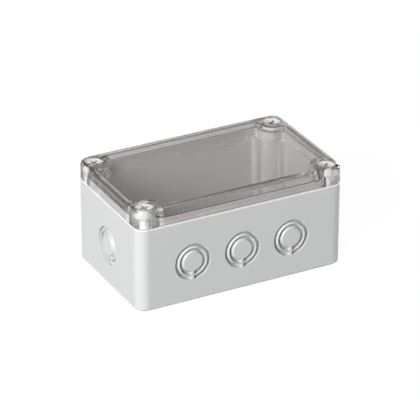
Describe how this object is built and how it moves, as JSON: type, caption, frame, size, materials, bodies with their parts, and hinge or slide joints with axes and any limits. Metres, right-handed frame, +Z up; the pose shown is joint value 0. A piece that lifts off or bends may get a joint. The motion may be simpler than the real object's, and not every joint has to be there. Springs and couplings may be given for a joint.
{
  "type": "polycarbonate enclosure",
  "caption": "Small rectangular enclosure: grey base with double-ring knockouts, clear screw-down lid with gasket, captive plastic corner screws.",
  "frame": {"origin": "centre of the footprint on the resting face", "axes": "+X along the length, +Y across the width from the front long wall to the back one, +Z up through the lid"},
  "size_m": [0.125, 0.076, 0.06],
  "materials": {
    "base_grey": "satin moulded",
    "lid_clear": "clear polished",
    "gasket": "soft foamed",
    "screw_white": "satin moulded",
    "ring_natural": "plain"
  },
  "bodies": {
    "base": {"base": "base_grey"},
    "lid": {"lid": "lid_clear", "gasket": "gasket"},
    "ring_fl": {"retaining_ring_fl": "ring_natural"},
    "screw_fl": {"lid_screw_fl": "screw_white"},
    "ring_fr": {"retaining_ring_fr": "ring_natural"},
    "screw_fr": {"lid_screw_fr": "screw_white"},
    "ring_bl": {"retaining_ring_bl": "ring_natural"},
    "screw_bl": {"lid_screw_bl": "screw_white"},
    "ring_br": {"retaining_ring_br": "ring_natural"},
    "screw_br": {"lid_screw_br": "screw_white"}
  },
  "joints": [
    {"name": "lid_lift", "type": "slide", "parent": "base", "child": "lid", "axis": [0, 0, 1], "range_m": [0, 0.1]},
    {"name": "screw_rise_fl", "type": "slide", "parent": "lid", "child": "ring_fl", "axis": [0, 0, 1], "range_m": [0, 0.005]},
    {"name": "screw_turn_fl", "type": "hinge", "parent": "ring_fl", "child": "screw_fl", "pos_m": [-0.0551, -0.0306, 0.0542], "axis": [0, 0, 1], "range_deg": [0, 900]},
    {"name": "screw_rise_fr", "type": "slide", "parent": "lid", "child": "ring_fr", "axis": [0, 0, 1], "range_m": [0, 0.005]},
    {"name": "screw_turn_fr", "type": "hinge", "parent": "ring_fr", "child": "screw_fr", "pos_m": [0.0551, -0.0306, 0.0542], "axis": [0, 0, 1], "range_deg": [0, 900]},
    {"name": "screw_rise_bl", "type": "slide", "parent": "lid", "child": "ring_bl", "axis": [0, 0, 1], "range_m": [0, 0.005]},
    {"name": "screw_turn_bl", "type": "hinge", "parent": "ring_bl", "child": "screw_bl", "pos_m": [-0.0551, 0.0306, 0.0542], "axis": [0, 0, 1], "range_deg": [0, 900]},
    {"name": "screw_rise_br", "type": "slide", "parent": "lid", "child": "ring_br", "axis": [0, 0, 1], "range_m": [0, 0.005]},
    {"name": "screw_turn_br", "type": "hinge", "parent": "ring_br", "child": "screw_br", "pos_m": [0.0551, 0.0306, 0.0542], "axis": [0, 0, 1], "range_deg": [0, 900]}
  ],
  "couplings": [
    {"joint": "screw_turn_fl", "follows": "screw_rise_fl", "rad_per_m": 3141.6},
    {"joint": "screw_turn_fr", "follows": "screw_rise_fr", "rad_per_m": 3141.6},
    {"joint": "screw_turn_bl", "follows": "screw_rise_bl", "rad_per_m": 3141.6},
    {"joint": "screw_turn_br", "follows": "screw_rise_br", "rad_per_m": 3141.6}
  ]
}
